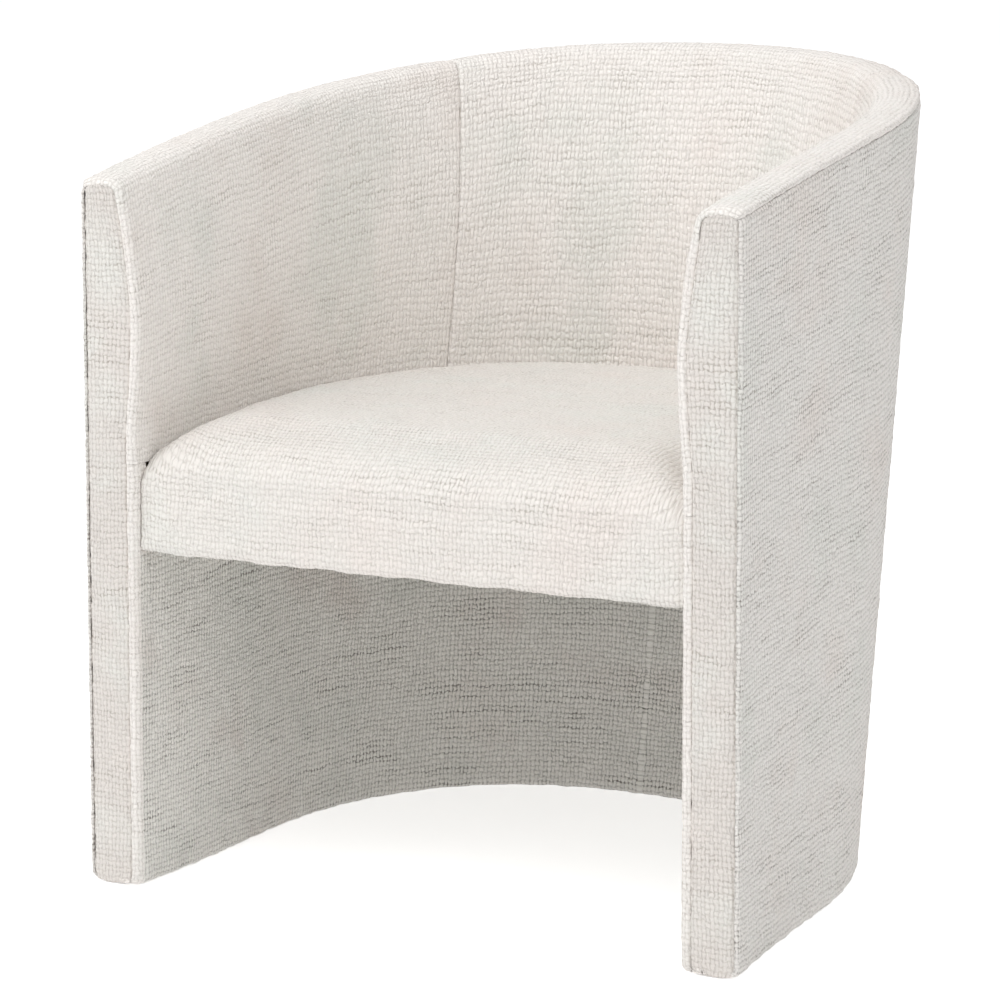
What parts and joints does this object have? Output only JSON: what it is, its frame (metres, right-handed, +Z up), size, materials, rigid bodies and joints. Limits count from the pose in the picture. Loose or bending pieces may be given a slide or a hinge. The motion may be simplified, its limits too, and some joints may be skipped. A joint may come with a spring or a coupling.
{
  "type": "upholstered armchair",
  "caption": "Barrel-shaped armchair with a wraparound padded back, a fixed crowned seat, an open leg space and a wall that reaches the floor, in woven fabric.",
  "frame": {"origin": "on the floor, at the middle of the box around the chair", "axes": "+Z up, -Y the way the chair faces, +X to the right of someone who stands in front and looks at it"},
  "size_m": [0.6658, 0.6772, 0.7598],
  "materials": {
    "fabric": "matte",
    "shadedFabric": "matte",
    "plywood": "matte",
    "hardboard": "matte",
    "foam": "matte",
    "wadding": "matte",
    "felt": "matte",
    "lining": "matte",
    "steel": "satin",
    "plastic": "satin"
  },
  "bodies": {
    "root": {"bottom_rail": "plywood", "seat_rail": "plywood", "top_rail": "plywood", "right_front_post": "plywood", "left_front_post": "plywood", "lower_stud_1": "plywood", "lower_stud_2": "plywood", "lower_stud_3": "plywood", "lower_stud_4": "plywood", "lower_stud_5": "plywood", "upper_stud_1": "plywood", "upper_stud_2": "plywood", "upper_stud_3": "plywood", "upper_stud_4": "plywood", "upper_stud_5": "plywood", "front_seat_rail": "plywood", "right_corner_block": "plywood", "left_corner_block": "plywood", "right_block_screw": "steel", "left_block_screw": "steel", "seat_spring_1": "steel", "seat_spring_2": "steel", "seat_spring_3": "steel", "seat_spring_4": "steel", "spring_clip_1_front": "steel", "spring_clip_1_back": "steel", "spring_clip_2_front": "steel", "spring_clip_2_back": "steel", "spring_clip_3_front": "steel", "spring_clip_3_back": "steel", "spring_clip_4_front": "steel", "spring_clip_4_back": "steel", "glide_1": "plastic", "glide_2": "plastic", "glide_3": "plastic", "glide_4": "plastic", "glide_5": "plastic", "outer_board": "hardboard", "lower_inner_board": "hardboard", "upper_inner_board": "hardboard", "outside_wadding": "wadding", "seat_foam": "foam", "inside_foam": "foam", "right_facing_pad": "foam", "left_facing_pad": "foam", "spring_felt": "felt", "dust_cover": "lining", "seat_cover": "fabric", "inside_cover_right": "fabric", "inside_cover_centre": "fabric", "inside_cover_left": "fabric", "outside_cover_right": "fabric", "outside_cover_back": "fabric", "outside_cover_left": "fabric", "right_facing": "fabric", "left_facing": "fabric", "lower_inside_cover": "shadedFabric"}
  },
  "joints": []
}
